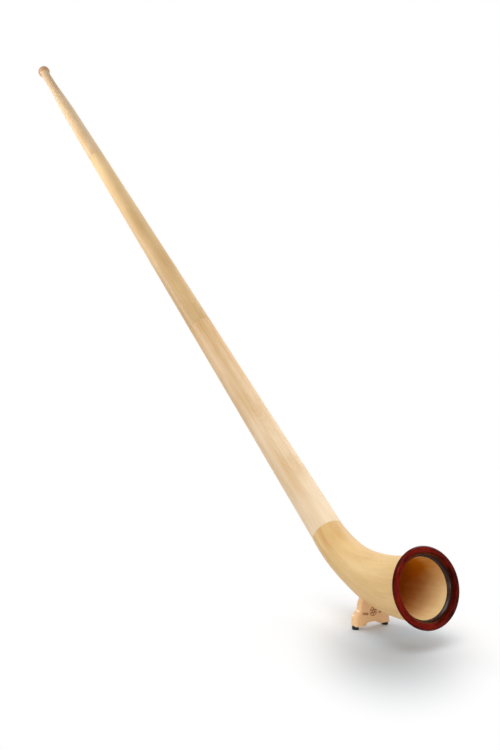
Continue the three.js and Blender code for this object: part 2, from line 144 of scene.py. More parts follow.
# Foot
FOOT_THICKNESS = 0.021
FOOT_AHEAD = 0.0025
FOOT_FRONT = FOOT_AHEAD + FOOT_THICKNESS / 2
FOOT_ARCH_HEIGHT = 0.0155
FOOT_ARCH_HALF_WIDTH = 0.009
FOOT_ARCH_EASE = 0.001
LEG_INNER = 0.022
LEG_OUTER = 0.053
LEG_ROUNDING = 0.005
TOE_HEIGHT = 0.028
ANKLE_WIDTH = 0.0435
ANKLE_HEIGHT = 0.041
WAIST_HALF_WIDTH = 0.037
WAIST_HEIGHT = 0.052
SHOULDER_HALF_WIDTH = 0.0325
FOOT_SHOULDER_HEIGHT = 0.070
SADDLE_HALF_WIDTH = 0.0215
SADDLE_TOP = 0.092
FOOT_EDGE = 0.003
TOE_EDGE = 0.008
UNDER_EDGE = 0.0012
EDGE_RISE = 0.006
FOOT_EDGE_STEPS = 8

# Carving on the foot's front, a common chip-carved rosette between two ears of corn
CARVING_HEIGHT = 0.0415
CARVING_DEPTH = 0.0014
CARVING_LIFT = 0.0004
ROSETTE_RADIUS = 0.0105
PETALS = 6
PETAL_START_SHARE = 0.10
PETAL_LENGTH_SHARE = 0.82
PETAL_HALF_WIDTH = 0.0023
ROUND_GROOVE_SHARE = 0.6
ROUND_GROOVE_HALF_WIDTH = 0.0009
ROUND_GROOVE_STEPS = 72
STEM_START = (0.0128, -0.0050)
STEM_TURN = 0.15
STEM_LENGTH = 0.0190
STEM_HALF_WIDTH = 0.0006
GRAIN_HALF_WIDTH = 0.0012
GRAIN_LENGTH = 0.0052
GRAIN_TURN = 0.55
GRAIN_LIFT = 0.0005
GRAIN_PLACES = (0.0025, 0.0070, 0.0115, 0.0160)
CHIP_STEPS = 10
CHIP_TIP = 0.00001

# Pads and their screws
PAD_SPACING = 0.090
PAD_HEIGHT = 0.008
PAD_TOP_RADIUS = 0.008
PAD_FOOT_RADIUS = 0.0085
PAD_EDGE = 0.001
PAD_HOLE_RADIUS = 0.0024
PAD_SINK_RADIUS = 0.004
PAD_SINK_DEPTH = 0.004
PAD_STEPS = 64
SCREW_HEAD_RADIUS = 0.0036
SCREW_HEAD_HEIGHT = 0.0022
SCREW_HEAD_ROUNDING = 0.0008
SCREW_SHANK_RADIUS = 0.002
SCREW_LENGTH = 0.018
SCREW_TIP_LENGTH = 0.003
SCREW_STEPS = 32
SCREW_HOLE_STEPS = 24

# Steps round the pieces, and the angles from which an edge is shaded as a sharp one
HALF_STEPS = 48
LATHE_STEPS = 96
RING_STEPS = 192
ON_AXIS = 1e-7
SMOOTH_ANGLE = math.radians(35)
FOOT_SMOOTH_ANGLE = math.radians(28)

# Chamfers, left out at blunt corners and at sides shorter than this many chamfers
WOOD_CHAMFER = 0.0005
KNOB_CHAMFER = 0.0004
PAD_CHAMFER = 0.0003
BRASS_CHAMFER = 0.0002
BLUNT_ANGLE = math.radians(150)
SHORTEST_SIDE = 2.5

# The shells show raw wood from this far inside their outside, and the painted shade inside the bore is darkest
# from this depth on
BORE_MARGIN = 0.003
BORE_SHADE_FROM = 0.17
# The ring's lacquer, darkened near black with painted shade as in its cove, runs this far into the bell's bore
BORE_SHADED_LACQUER = 0.0035
BORE_SHADED_LACQUER_BLUR = 0.0005
BORE_SHADED_LACQUER_COLOUR = (20, 8, 6)

# Ring's lacquer, with painted shade as darker bands at its rim and in its cove
RING_COLOUR = (136, 26, 10)
RING_DEEP_COLOUR = (46, 4, 2)
RING_RIM_SHADE = (40, 5, 3)
RING_RIM_BAND = 0.0035
RING_COVE_SHADE = (38, 10, 8)
RING_COVE_BAND = 0.0030

# Spruce, with its pith below the horn and a glue line between the halves
YEAR_RING_WIDTH = 0.0022
FLAME_WIDTH = 0.013
PITH_BELOW = 0.06
PITH_ASIDE = 0.02
GLUE_LINE = (0.0001, 0.0003)

# Rubber and metal
RUBBER_COLOUR = (8, 8, 8)
DUST_COLOUR = (20, 19, 18)
METAL_STAIN = 0.72

# Floor and world, as they light the horn
FLOOR_SIZE = 60
FLOOR_COLOUR = (0.85, 0.85, 0.85, 1.0)
WORLD_LIGHT = 0.43
WHITE = (1.0, 1.0, 1.0, 1.0)
# The floor as it is seen, with a painted grey shadow in an oval under the bell, over its real shadow. It turns
# to plain white over the fade
PAINTED_SHADOW_COLOUR = (0.575, 0.592, 0.604, 1.0)
OVAL_CENTRE = (0.188, -0.073, 0.0)
OVAL_TURN = 0.929
OVAL_WIDTH = 0.269
OVAL_LENGTH = 0.526
FADE_FROM = 0.30
FADE_TO = 1.37
# Its colour under the bell takes out the warm light that the wood throws on it
BOUNCE_CENTRE = (0.09, 0.02, 0.0)
BOUNCE_REACH = 0.20
BOUNCE_TINT = (1.02, 1.17, 1.36, 1.0)

# Softboxes, as name, place, aim, width, height and watts
BELL_AIM = (0.15, 0.0, 0.14)
HAND_AIM = (-1.95, 0.0, 1.5)
SOFTBOXES = (
    ("key_softbox", (1.2, -0.7, 2.5), BELL_AIM, 1.8, 1.8, 36),
    ("back_softbox", (-0.9, 1.9, 2.0), BELL_AIM, 2.2, 2.2, 28),
    ("low_softbox", (0.9, -2.0, 0.35), BELL_AIM, 1.0, 0.6, 3.6),
    ("hand_softbox", (-2.35, -1.25, 1.38), HAND_AIM, 0.9, 0.9, 20.5),
)

# Camera, from the fit to the photograph's outline
CAMERA_AT = Vector((1.9085, -1.4266, 0.7027))
CAMERA_YAW = 0.5169
CAMERA_PITCH = 0.0341
CAMERA_LENS_MM = 46.35
CAMERA_SENSOR_MM = 36.0
CAMERA_CLIP_END = 200

forward = Vector((math.cos(BELL_TILT), 0, math.sin(BELL_TILT)))
uphill = Vector((-math.cos(TUBE_SLOPE), 0, math.sin(TUBE_SLOPE)))
corner = MOUTH - MOUTH_TO_CORNER * forward
bell_joint = corner + CORNER_TO_JOINT * uphill
lower_start = 0.0
upper_start = LOWER_LENGTH
hand_start = LOWER_LENGTH + UPPER_LENGTH
top_start = hand_start + HAND_LENGTH


def up_of(tangent):
    """The upper side of the horn's middle plane, square to its axis."""
    return Vector((tangent.z, 0, -tangent.x))


def spline(pairs, count):
    """Points of the smooth curve through the given ones, evenly spread over them."""
    knots = [Vector(pair) for pair in pairs]
    points = []
    for step in range(count + 1):
        spot = step / count * (len(knots) - 1)
        first = min(int(spot), len(knots) - 2)
        t = spot - first
        p1 = knots[first]
        p2 = knots[first + 1]
        v0 = (p2 - knots[max(first - 1, 0)]) / 2
        v1 = (knots[min(first + 2, len(knots) - 1)] - p1) / 2
        point = (2 * p1 - 2 * p2 + v0 + v1) * t ** 3 + (3 * p2 - 3 * p1) * t ** 2
        point -= (2 * v0 + v1) * t ** 2
        points.append(tuple(point + v0 * t + p1))
    return points


def between(start, end, curve):
    """The points of a curve of shares from one (radius, height) to another."""
    return [tuple(a + (b - a) * share for a, b, share in zip(start, end, shares)) for shares in curve]


def smooth_share(value, low, high):
    """0 below low and 1 above high, with a smooth way between them."""
    share = min(1.0, max(0.0, (value - low) / (high - low)))
    return share * share * (3 - 2 * share)


def circle(steps):
    """(cosine, sine) of angles spread evenly round a circle."""
    angles = [2 * math.pi * step / steps for step in range(steps)]
    return [(math.cos(angle), math.sin(angle)) for angle in angles]


class Bend:
    """The bell's curved axis, from the mouth to the bell joint, by share of its length."""

    def __init__(self):
        handle = MOUTH - MOUTH_TO_CORNER * BEND_HANDLE_SHARE * forward
        far_handle = bell_joint - CORNER_TO_JOINT * BEND_HANDLE_SHARE * uphill
        self.points = []
        for step in range(BEND_SAMPLES + 1):
            t = step / BEND_SAMPLES
            s = 1 - t
            near = s ** 3 * MOUTH + 3 * s * s * t * handle
            self.points.append(near + 3 * s * t * t * far_handle + t ** 3 * bell_joint)
        self.places = [0.0]
        for a, b in zip(self.points, self.points[1:]):
            self.places.append(self.places[-1] + (b - a).length)
        self.length = self.places[-1]

    def at(self, share):
        """(centre, upper side) at a share of the length."""
        if share <= 0:
            return MOUTH, up_of(-forward)
        if share >= 1:
            return bell_joint, up_of(uphill)
        goal = share * self.length
        low = sum(place <= goal for place in self.places) - 1
        a, b = self.points[low:low + 2]
        part = (goal - self.places[low]) / (self.places[low + 1] - self.places[low])
        return a.lerp(b, part), up_of((b - a).normalized())


bend = Bend()


def axis_matrix(origin, up, axis):
    """Local Z along an axis, with local X on its upper side and local Y to the horn's left."""
    turn = Matrix((up, Vector((0, 1, 0)), axis)).transposed().to_4x4()
    return Matrix.Translation(origin) @ turn


def tube_matrix(start):
    """Local Z up the tube, with the origin at a height along it."""
    return axis_matrix(bell_joint + start * uphill, up_of(uphill), uphill)


def link_object(name, bm):
    """Makes a named object of a bmesh."""
    mesh = bpy.data.meshes.new(name)
    bm.to_mesh(mesh)
    bm.free()
    made = bpy.data.objects.new(name, mesh)
    bpy.context.scene.collection.objects.link(made)
    return made


def link_piece(node, bm, material, body, bore_material=None):
    """Makes the visual piece of a CAD node from a bmesh."""
    piece = link_object(f"{node}_fine", bm)
    piece.data.materials.append(material)
    if bore_material:
        piece.data.materials.append(bore_material)
    piece.data.shade_smooth()
    piece.data.set_sharp_from_angle(angle=SMOOTH_ANGLE)
    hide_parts(node)
    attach(piece, body)


def softened(profile, amount):
    """A closed profile whose sharp corners are cut by a small chamfer."""
    result = []
    for index, point in enumerate(profile):
        here = Vector(point)
        before = Vector(profile[index - 1]) - here
        after = Vector(profile[(index + 1) % len(profile)]) - here
        short = min(before.length, after.length) < SHORTEST_SIDE * amount
        if short or before.angle(after) > BLUNT_ANGLE:
            result.append(point)
        else:
            result += [tuple(here + way.normalized() * amount) for way in (before, after)]
    return result


def refined(profile):
    """A closed profile with long straight runs divided."""
    result = []
    for point, after in zip(profile, profile[1:] + profile[:1]):
        steps = max(1, math.ceil(math.dist(point, after) / LONGEST_RUN))
        for step in range(steps):
            result.append(tuple(a + (b - a) * step / steps for a, b in zip(point, after)))
    return result


def skin(bm, rows):
    """Faces between neighbouring closed rows of vertices, as (index along the row, face)."""
    made = []
    for a, b in zip(rows, rows[1:]):
        for index in range(len(a)):
            after = (index + 1) % len(a)
            corners = tuple(dict.fromkeys((a[index], a[after], b[after], b[index])))
            if len(corners) > 2:
                made.append((index, bm.faces.new(corners)))
    return made


def closed(bm):
    """The same bmesh with its faces turned outwards."""
    bmesh.ops.recalc_face_normals(bm, faces=bm.faces)
    return bm


def radius_at(outside, place):
    """Radius of an outside line at a place."""
    for (a, radius_a), (b, radius_b) in zip(outside, outside[1:]):
        if place <= b:
            return radius_a + (radius_b - radius_a) * max(0.0, place - a) / (b - a)
    return outside[-1][1]


def half_shell(loop, frame_at, side, place_of, outside):
    """Half of a hollow shell, split at the plane Y = 0, from a closed loop of (place, radius)."""
    frames = [frame_at(place) for place, radius in loop]
    deep = [radius < radius_at(outside, place) - BORE_MARGIN for place, radius in loop]
    bm = bmesh.new()
    grain = bm.verts.layers.float_vector.new("grain")
    rows = []
    for step in range(HALF_STEPS + 1):
        angle = math.pi * step / HALF_STEPS
        sine = 0.0 if step in (0, HALF_STEPS) else math.sin(angle)
        row = []
        for (place, radius), (centre, up) in zip(loop, frames):
            high = radius * math.cos(angle)
            across = radius * sine * side
            vert = bm.verts.new(centre + high * up + Vector((0, across, 0)))
            vert[grain] = (place_of(place), high, across)
            row.append(vert)
        rows.append(row)
    for index, face in skin(bm, rows):
        face.material_index = int(deep[index] and deep[(index + 1) % len(loop)])
    bm.faces.new(rows[0])
    bm.faces.new(rows[-1])
    return closed(bm)


def turned(profile, matrix, steps=LATHE_STEPS):
    """A turned solid about the local Z axis, from a profile of (radius, height)."""
    bm = bmesh.new()
    grain = bm.verts.layers.float_vector.new("grain")
    columns = []
    for radius, height in profile:
        column = []
        for cosine, sine in circle(1 if radius < ON_AXIS else steps):
            x = radius * cosine
            y = radius * sine
            vert = bm.verts.new(matrix @ Vector((x, y, height)))
            vert[grain] = (height, x, y)
            column.append(vert)
        columns.append(column if len(column) == steps else column * steps)
    skin(bm, columns if profile[0][0] < ON_AXIS else columns + columns[:1])
    return closed(bm)


# Materials

def feed(tree, socket, value):
    """Sets a socket, or links another one to it."""
    if isinstance(value, bpy.types.NodeSocket):
        tree.links.new(value, socket)
    else:
        socket.default_value = value


def node(tree, kind, inputs=None, **settings):
    """A new node with its settings and its inputs."""
    made = tree.nodes.new(kind)
    for key, value in settings.items():
        setattr(made, key, value)
    for key, value in (inputs or {}).items():
        feed(tree, made.inputs[key], value)
    return made


def maths(tree, operation, *values):
    return node(tree, "ShaderNodeMath", dict(enumerate(values)), operation=operation).outputs[0]


def vector_maths(tree, operation, *values):
    """The outputs of a vector operation: Vector, or Value for a number."""
    return node(tree, "ShaderNodeVectorMath", dict(enumerate(values)), operation=operation).outputs


def noise(tree, vector, factors, offset, detail=2.0, roughness=0.5, distortion=0.0):
    """Noise at vector * factors + offset."""
    place = vector_maths(tree, "MULTIPLY_ADD", vector, factors, offset)["Vector"]
    return node(tree, "ShaderNodeTexNoise", {
        "Vector": place, "Scale": 1.0, "Detail": detail, "Roughness": roughness,
        "Distortion": distortion,
    }).outputs["Fac"]


def ramp_between(tree, value, low, high, smooth=True):
    """0 below low and 1 above high."""
    return node(tree, "ShaderNodeMapRange", {
        "Value": value, "From Min": low, "From Max": high,
    }, interpolation_type="SMOOTHSTEP" if smooth else "LINEAR").outputs[0]


def mixed(tree, factor, a, b, blend="MIX"):
    inputs = {0: factor, 6: a, 7: b}
    return node(tree, "ShaderNodeMix", inputs, data_type="RGBA", blend_type=blend).outputs[2]


def clamped(tree, value):
    return maths(tree, "MINIMUM", maths(tree, "MAXIMUM", value, 0.0), 1.0)


def centred(tree, value):
    return maths(tree, "SUBTRACT", value, 0.5)


def weighted(tree, base, *terms):
    """base + each value * its weight."""
    for value, weight in terms:
        base = maths(tree, "MULTIPLY_ADD", value, weight, base)
    return base


def hypotenuse(tree, a, b):
    return maths(tree, "SQRT", weighted(tree, maths(tree, "MULTIPLY", b, b), (a, a)))


def wave(tree, value, width, rise, fall):
    """A rise and a fall in each width of the value, both as (start, end) shares of it."""
    turn = maths(tree, "FRACT", maths(tree, "DIVIDE", value, width))
    return maths(tree, "SUBTRACT", ramp_between(tree, turn, *rise), ramp_between(tree, turn, *fall))


def split(tree, vector):
    return node(tree, "ShaderNodeSeparateXYZ", {"Vector": vector}).outputs[:]


def srgb(levels):
    """A colour written as 0 to 255, in the linear values that the nodes use."""
    def linear(value):
        return value / 12.92 if value <= 0.04045 else ((value + 0.055) / 1.055) ** 2.4
    return tuple(linear(level / 255) for level in levels) + (1.0,)


def new_material(name):
    """A material, its tree, its shader and its grain.

    The grain is (along, height, sideways) in the straightened piece, in metres.
    """
    material = bpy.data.materials.new(name)
    material.use_nodes = True
    tree = material.node_tree
    grain = node(tree, "ShaderNodeAttribute", attribute_name="grain").outputs["Vector"]
    return material, tree, tree.nodes["Principled BSDF"], grain


def surface(tree, shader, inputs, height, relief):
    """Feeds the shader's inputs, and gives it a bump of the given depth."""
    for key, value in inputs.items():
        feed(tree, shader.inputs[key], value)
    bump = node(tree, "ShaderNodeBump", {"Height": height, "Distance": relief, "Strength": 1.0})
    tree.links.new(bump.outputs[0], shader.inputs["Normal"])


def spruce(name, pale, deep, seed, root=None, fade=None):
    """Clear-lacquered softwood, its year rings cut lengthwise.

    root is (start, end, weight) of the way to a stretch of deeper flames, and fade that of a slow, even
    turn to the deep colour.
    """
    material, tree, shader, grain = new_material(name)
    offset = (seed * 3.7, seed * 1.3, seed * 2.1)
    along, height, sideways = split(tree, grain)
    aside = maths(tree, "ABSOLUTE", sideways)
    wander = noise(tree, grain, (1.6, 7.0, 7.0), offset)
    swing = noise(tree, grain, (4.0, 26.0, 26.0), offset, detail=1.0)
    # Distance from the log's pith, which runs a little askew of the horn's axis
    high = weighted(tree, height, (centred(tree, wander), 0.05), (along, 0.05))
    side = weighted(tree, aside, (centred(tree, swing), 0.02))
    distance = hypotenuse(
        tree, maths(tree, "ADD", high, PITH_BELOW), maths(tree, "ADD", side, PITH_ASIDE))
    late = wave(tree, distance, YEAR_RING_WIDTH, (0.30, 0.90), (0.90, 1.0))
    flame = wave(tree, distance, FLAME_WIDTH, (0.10, 0.75), (0.80, 1.0))
    group = noise(tree, grain, (1.3, 38.0, 38.0), offset, detail=3.0, roughness=0.55)
    streak = noise(tree, grain, (3.0, 190.0, 190.0), offset, detail=4.0, roughness=0.65)
    fibre = noise(tree, grain, (80.0, 2400.0, 2400.0), offset, detail=3.0)
    cloud = noise(tree, grain, (5.0, 16.0, 16.0), offset)
    depth = weighted(
        tree, 0.0,
        (late, 0.06),
        (ramp_between(tree, group, 0.30, 0.74), 0.26),
        (ramp_between(tree, streak, 0.36, 0.70), 0.14),
        (ramp_between(tree, cloud, 0.30, 0.75), 0.26),
        (flame, 0.05),
        (centred(tree, fibre), 0.10))
    if root:
        start, end, weight = root
        reach = ramp_between(tree, along, start, end)
        patch = weighted(tree, 0.0, (flame, 0.75), (ramp_between(tree, group, 0.30, 0.62), 0.25))
        depth = weighted(tree, depth, (maths(tree, "MULTIPLY", reach, patch), weight))
    if fade:
        start, end, weight = fade
        depth = weighted(tree, depth, (ramp_between(tree, along, start, end, smooth=False), weight))
    colour = mixed(tree, clamped(tree, depth), srgb(pale), srgb(deep))
    seam = maths(tree, "MULTIPLY_ADD", ramp_between(tree, aside, *GLUE_LINE), 0.3, 0.7)
    surface(tree, shader, {
        "Base Color": mixed(tree, 1.0, colour, seam, "MULTIPLY"),
        "Roughness": maths(tree, "MULTIPLY_ADD", streak, 0.12, 0.40),
        "Specular IOR Level": 0.18,
        "Coat Weight": 0.06,
        "Coat Roughness": 0.3,
    }, height=weighted(tree, 0.0, (late, 0.4), (fibre, 0.08)), relief=0.00006)
    return material


def raw_bore(name, mouth, deep, seed):
    """Oiled bare wood with painted shade, darker deep inside and on its upper side, and a near-black band of
    shaded lacquer at the mouth.
    """
    material, tree, shader, grain = new_material(name)
    offset = (seed * 3.7, seed * 1.3, seed * 2.1)
    along, height = split(tree, grain)[:2]
    streak = noise(tree, grain, (5.0, 120.0, 120.0), offset, detail=4.0, roughness=0.6)
    tools = noise(tree, grain, (30.0, 30.0, 30.0), offset)
    # Painted shade: darker from the mouth inwards and on the bore's upper side, under real streaks and tool
    # marks
    depth = weighted(
        tree, ramp_between(tree, along, 0.0, BORE_SHADE_FROM),
        (ramp_between(tree, height, -0.02, 0.06), 0.75),
        (centred(tree, streak), 0.45),
        (centred(tree, tools), 0.35))
    colour = mixed(tree, clamped(tree, depth), srgb(mouth), srgb(deep))
    # Painted shade: the ring's lacquer at the bore's mouth, darkened near black
    shaded_lacquer = ramp_between(
        tree, along, BORE_SHADED_LACQUER + BORE_SHADED_LACQUER_BLUR, BORE_SHADED_LACQUER - BORE_SHADED_LACQUER_BLUR)
    surface(tree, shader, {
        "Base Color": mixed(tree, shaded_lacquer, colour, srgb(BORE_SHADED_LACQUER_COLOUR)),
        "Roughness": maths(tree, "MULTIPLY_ADD", streak, 0.2, 0.45),
        "Specular IOR Level": 0.1,
    }, height=weighted(tree, streak, (tools, 2.0)), relief=0.0002)
    return material


def hardwood(name, pale, deep, seed, rough=0.34, coat=0.3):
    """Even-grained lacquered hardwood with short flecks."""
    material, tree, shader, grain = new_material(name)
    offset = (seed * 2.9, seed * 1.7, seed * 0.9)
    band = noise(tree, grain, (9.0, 140.0, 90.0), offset, detail=3.0, roughness=0.55, distortion=0.4)
    flecks = noise(tree, grain, (160.0, 1900.0, 1900.0), offset)
    cloud = noise(tree, grain, (20.0, 45.0, 45.0), offset)
    depth = weighted(
        tree, 0.0,
        (ramp_between(tree, band, 0.35, 0.70), 0.50),
        (ramp_between(tree, flecks, 0.56, 0.72), 0.20),
        (ramp_between(tree, cloud, 0.35, 0.75), 0.25))
    surface(tree, shader, {
        "Base Color": mixed(tree, clamped(tree, depth), srgb(pale), srgb(deep)),
        "Roughness": maths(tree, "MULTIPLY_ADD", band, 0.12, rough - 0.06),
        "Specular IOR Level": 0.3,
        "Coat Weight": coat,
        "Coat Roughness": 0.15,
    }, height=weighted(tree, flecks, (band, 0.5)), relief=0.00005)
    return material


def ring_lacquer(name, seed):
    """Dark red stained wood under gloss lacquer, its grain running round the ring, with painted shade at its
    rim, in its cove and towards its left side.
    """
    material, tree, shader, grain = new_material(name)
    ahead, upper, left = split(tree, grain)
    radius = hypotenuse(tree, upper, left)
    turn_x = maths(tree, "DIVIDE", upper, radius)
    turn_y = maths(tree, "DIVIDE", left, radius)
    level = maths(tree, "MULTIPLY_ADD", ahead, 0.6, radius)
    wrapped = node(tree, "ShaderNodeCombineXYZ", {"X": turn_x, "Y": turn_y, "Z": level}).outputs[0]
    offset = (seed, 0, seed)
    streak = noise(tree, wrapped, (3.0, 3.0, 420.0), offset, detail=4.0, roughness=0.6)
    fine = noise(tree, wrapped, (14.0, 14.0, 1700.0), offset, detail=3.0)
    cloud = noise(tree, wrapped, (2.5, 2.5, 60.0), offset)
    # Painted shade: beside the grain, darker towards the horn's left side (+Y) and a little towards the bottom
    depth = weighted(
        tree, 0.0,
        (ramp_between(tree, streak, 0.36, 0.66), 0.55),
        (ramp_between(tree, fine, 0.45, 0.75), 0.22),
        (ramp_between(tree, cloud, 0.35, 0.70), 0.30),
        (ramp_between(tree, weighted(tree, turn_y, (turn_x, -0.3)), 0.0, 1.0), 0.45))
    colour = mixed(tree, clamped(tree, depth), srgb(RING_COLOUR), srgb(RING_DEEP_COLOUR))
    # Painted shade: darker towards the outer rim and in the cove
    rim = ramp_between(tree, radius, RING_RADIUS - RING_RIM_BAND, RING_RADIUS)
    colour = mixed(tree, maths(tree, "MULTIPLY", rim, 0.6), colour, srgb(RING_RIM_SHADE))
    shaded_cove = ramp_between(tree, radius, RING_LIP_RADIUS, RING_LIP_RADIUS - RING_COVE_BAND)
    surface(tree, shader, {
        "Base Color": mixed(tree, maths(tree, "MULTIPLY", shaded_cove, 0.95), colour, srgb(RING_COVE_SHADE)),
        "Roughness": maths(tree, "MULTIPLY_ADD", streak, 0.08, 0.12),
        "Specular IOR Level": maths(tree, "MULTIPLY_ADD", shaded_cove, 0.22, 0.04),
    }, height=streak, relief=0.00003)
    return material


def metal(name, levels, rough, seed):
    """Turned metal with fine tool marks round it."""
    material, tree, shader, grain = new_material(name)
    marks = noise(tree, grain, (5200.0, 40.0, 40.0), (seed, seed, 0))
    stain = noise(tree, grain, (60.0, 60.0, 60.0), (seed, seed, 0), detail=3.0)
    bright = srgb(levels)
    dull = tuple(value * METAL_STAIN for value in bright[:3]) + (1.0,)
    surface(tree, shader, {
        "Base Color": mixed(tree, ramp_between(tree, stain, 0.40, 0.75), bright, dull),
        "Roughness": maths(tree, "MULTIPLY_ADD", stain, 0.18, rough - 0.09),
        "Metallic": 1.0,
    }, height=marks, relief=0.00002)
    return material


def rubber(name, seed):
    """Moulded black rubber with a fine matt surface and a little dust."""
    material, tree, shader, grain = new_material(name)
    fine = noise(tree, grain, (2400.0, 2400.0, 2400.0), (seed, 0, 0))
    dust = noise(tree, grain, (140.0, 140.0, 140.0), (0, seed, 0), detail=3.0)
    dusty = ramp_between(tree, dust, 0.45, 0.80)
    surface(tree, shader, {
        "Base Color": mixed(tree, dusty, srgb(RUBBER_COLOUR), srgb(DUST_COLOUR)),
        "Roughness": maths(tree, "MULTIPLY_ADD", dust, 0.2, 0.55),
    }, height=fine, relief=0.00005)
    return material


bell_wood = spruce("bell_spruce", (238, 205, 146), (210, 160, 95), seed=1.0, root=(0.29, 0.37, 0.55))
lower_wood = spruce(
    "lower_spruce", (255, 235, 204), (208, 162, 100), seed=2.0, fade=(0.02, LOWER_LENGTH, 0.52))
upper_wood = spruce(
    "upper_spruce", (236, 204, 153), (192, 152, 97), seed=3.0, fade=(UPPER_LENGTH, 0.0, 0.42))
hand_wood = spruce("hand_spruce", (237, 209, 170), (190, 147, 94), seed=4.0, fade=(0.45, 0.0, 0.15))
bore_wood = raw_bore("bore_wood", (255, 224, 164), (214, 132, 20), seed=14.0)
foot_wood = hardwood("foot_hardwood", (255, 210, 156), (252, 202, 152), seed=5.0)
knob_wood = hardwood("knob_hardwood", (206, 160, 118), (164, 116, 80), seed=6.0)
cup_wood = hardwood("mouthpiece_hardwood", (70, 44, 32), (38, 24, 18), seed=7.0, coat=0.6)
burnt_wood = hardwood("burnt_carving", (172, 120, 80), (140, 92, 58), seed=8.0, rough=0.6, coat=0.0)
red_lacquer = ring_lacquer("ring_red_lacquer", seed=9.0)
brass = metal("turned_brass", (212, 172, 96), rough=0.30, seed=10.0)
steel = metal("screw_steel", (190, 190, 192), rough=0.34, seed=11.0)
pad_rubber = rubber("pad_rubber", seed=12.0)
seal_rubber = rubber("seal_rubber", seed=13.0)


# Joint hardware, with heights above the joint

def joint_sizes(bore):
    """Radii of the pieces at a joint and of the room for them, round a bore."""
    outer = bore + SLEEVE_WALL
    inner = outer + RUNNING_GAP
    return {
        "bore": bore,
        "outer": outer,
        "inner": inner,
        "liner": inner + LINER_WALL,
        "glue": outer + GAP,
        "socket": inner + LINER_WALL + GAP,
        "seal": outer - GROOVE_DEPTH + SEAL_SEAT_GAP + SEAL_RADIUS,
    }


def sleeve_profile(sizes):
    outer = sizes["outer"]
    groove = outer - GROOVE_DEPTH
    bottom = GAP - SLEEVE_GLUE_DEPTH
    profile = [(sizes["bore"], bottom), (outer, bottom)]
    for share in SEAL_SHARES.values():
        low = TENON_LENGTH * share - GROOVE_WIDTH / 2
        high = TENON_LENGTH * share + GROOVE_WIDTH / 2
        profile += [(outer, low), (groove, low), (groove, high), (outer, high)]
    profile += [(outer, TENON_LENGTH - SLEEVE_LEAD), (outer - SLEEVE_LEAD, TENON_LENGTH)]
    return softened(profile + [(sizes["bore"], TENON_LENGTH)], BRASS_CHAMFER)


def liner_profile(sizes):
    top = SOCKET_DEPTH - GAP
    return [(sizes["inner"], GAP), (sizes["liner"], GAP), (sizes["liner"], top), (sizes["inner"], top)]


def seal_profile(sizes, share):
    middle = TENON_LENGTH * share
    return [(sizes["seal"] + SEAL_RADIUS * x, middle + SEAL_RADIUS * y) for x, y in circle(SEAL_SIDES)]


def joint_hardware(name, sizes, start, lower_body, upper_body):
    matrix = tube_matrix(start)
    sleeve = turned(sleeve_profile(sizes), matrix)
    link_piece(f"{name}_tenon_sleeve", sleeve, brass, lower_body)
    liner = turned(liner_profile(sizes), matrix)
    link_piece(f"{name}_socket_liner", liner, brass, upper_body)
    for place, share in SEAL_SHARES.items():
        seal = turned(seal_profile(sizes, share), matrix)
        link_piece(f"{name}_seal_{place}", seal, seal_rubber, lower_body)


bell_sizes = joint_sizes(BELL_BORE)
middle_sizes = joint_sizes(MIDDLE_BORE)
hand_sizes = joint_sizes(HAND_BORE)
joint_hardware("bell_joint", bell_sizes, lower_start, "bell_section", "lower_middle_section")
joint_hardware("middle_joint", middle_sizes, upper_start, "lower_middle_section", "upper_middle_section")
joint_hardware("hand_joint", hand_sizes, hand_start, "upper_middle_section", "hand_section")


# Half shells, whose outsides and loops are lists of (place along the axis, radius)

bell_outside = spline(BELL_OUTSIDE, BELL_STATIONS)


def bell_loop():
    """The bell's closed loop, with the room for the sleeve at the joint end."""
    joint_wall = BELL_JOINT_RADIUS - BELL_BORE
    glue_share = 1 - SLEEVE_GLUE_DEPTH / bend.length
    inside = [
        (share, radius - BELL_MOUTH_WALL - (joint_wall - BELL_MOUTH_WALL) * share)
        for share, radius in bell_outside if share < glue_share
    ]
    return bell_outside + [(1, bell_sizes["glue"]), (glue_share, bell_sizes["glue"])] + inside[::-1]


def shells(name, body, material, loop, outside, frame_at, place_of):
    """The left and the right half of a section."""
    for word, side in SIDES:
        shell = half_shell(loop, frame_at, side, place_of, outside)
        link_piece(f"{name}_{word}", shell, material, body, bore_wood)


def tube_section(name, body, material, start, outside, socket, upper_room, upper_depth, bore):
    """Both halves of a straight section, with a socket below and the room for the next piece above."""
    length = outside[-1][0]
    upper_floor = length - upper_depth
    loop = outside + [
        (length, upper_room), (upper_floor, upper_room), (upper_floor, bore),
        (SOCKET_DEPTH, socket["bore"]), (SOCKET_DEPTH, socket["socket"]), (GAP, socket["socket"]),
    ]
    loop = refined(softened(loop, WOOD_CHAMFER))
    shells(name, body, material, loop, outside,
           lambda height: (bell_joint + (start + height) * uphill, up_of(uphill)), lambda height: height)


def hand_outside():
    shoulder_start = HAND_LENGTH - NECK_LENGTH - SHOULDER_LENGTH
    outside = [(GAP, HAND_JOINT_RADIUS)]
    for step in range(SHOULDER_STEPS + 1):
        share = step / SHOULDER_STEPS
        radius = SHOULDER_RADIUS + (NECK_RADIUS - SHOULDER_RADIUS) * smooth_share(share, 0, 1)
        outside.append((shoulder_start + SHOULDER_LENGTH * share, radius))
    return outside + [(HAND_LENGTH, NECK_RADIUS)]


